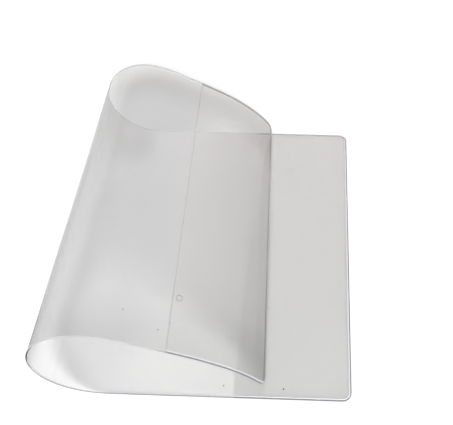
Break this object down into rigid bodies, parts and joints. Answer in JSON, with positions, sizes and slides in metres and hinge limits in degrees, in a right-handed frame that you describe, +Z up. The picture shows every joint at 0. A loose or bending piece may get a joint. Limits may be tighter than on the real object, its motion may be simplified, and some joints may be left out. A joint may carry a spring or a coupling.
{
  "type": "clear vinyl book cover",
  "caption": "Clear vinyl slip-on cover for a hymnal with a welded pocket at each end, lying open with its front half curled over.",
  "frame": {"origin": "on the table, under the middle of the whole part's box", "axes": "+X towards the back cover's outer edge, +Y along the spine from the near edge to the far edge, +Z up from the table"},
  "size_m": [0.1994, 0.2466, 0.0718],
  "materials": {
    "clear_vinyl": "clear, glossy, slightly clouded",
    "welded_seam": "clear, glossy welded bead"
  },
  "bodies": {
    "back": {"cover_back": "clear_vinyl", "back_pocket": "clear_vinyl", "back_seam": "welded_seam"},
    "roll_1": {"cover_roll_1": "clear_vinyl"},
    "roll_2": {"cover_roll_2": "clear_vinyl"},
    "roll_3": {"cover_roll_3": "clear_vinyl"},
    "front": {"cover_front": "clear_vinyl", "front_pocket": "clear_vinyl", "front_seam": "welded_seam"}
  },
  "joints": [
    {"name": "curl_1", "type": "hinge", "parent": "back", "child": "roll_1", "pos_m": [-0.07707, -0.00328, 0.00451], "axis": [0.0271, -0.9996, 0.0004], "range_deg": [0, 52.33]},
    {"name": "curl_2", "type": "hinge", "parent": "roll_1", "child": "roll_2", "pos_m": [-0.09584, -0.00292, 0.0288], "axis": [0.0247, -0.9997, 0.0035], "range_deg": [0, 52.33]},
    {"name": "curl_3", "type": "hinge", "parent": "roll_2", "child": "roll_3", "pos_m": [-0.08809, -0.00189, 0.05849], "axis": [0.0257, -0.9996, 0.0074], "range_deg": [0, 52.33]},
    {"name": "curl_4", "type": "hinge", "parent": "roll_3", "child": "front", "pos_m": [-0.05985, -0.00048, 0.07048], "axis": [0.0293, -0.9995, 0.009], "range_deg": [0, 52.33]}
  ],
  "couplings": [
    {"joint": "curl_2", "follows": "curl_1", "ratio": 1},
    {"joint": "curl_3", "follows": "curl_1", "ratio": 1},
    {"joint": "curl_4", "follows": "curl_1", "ratio": 1}
  ]
}
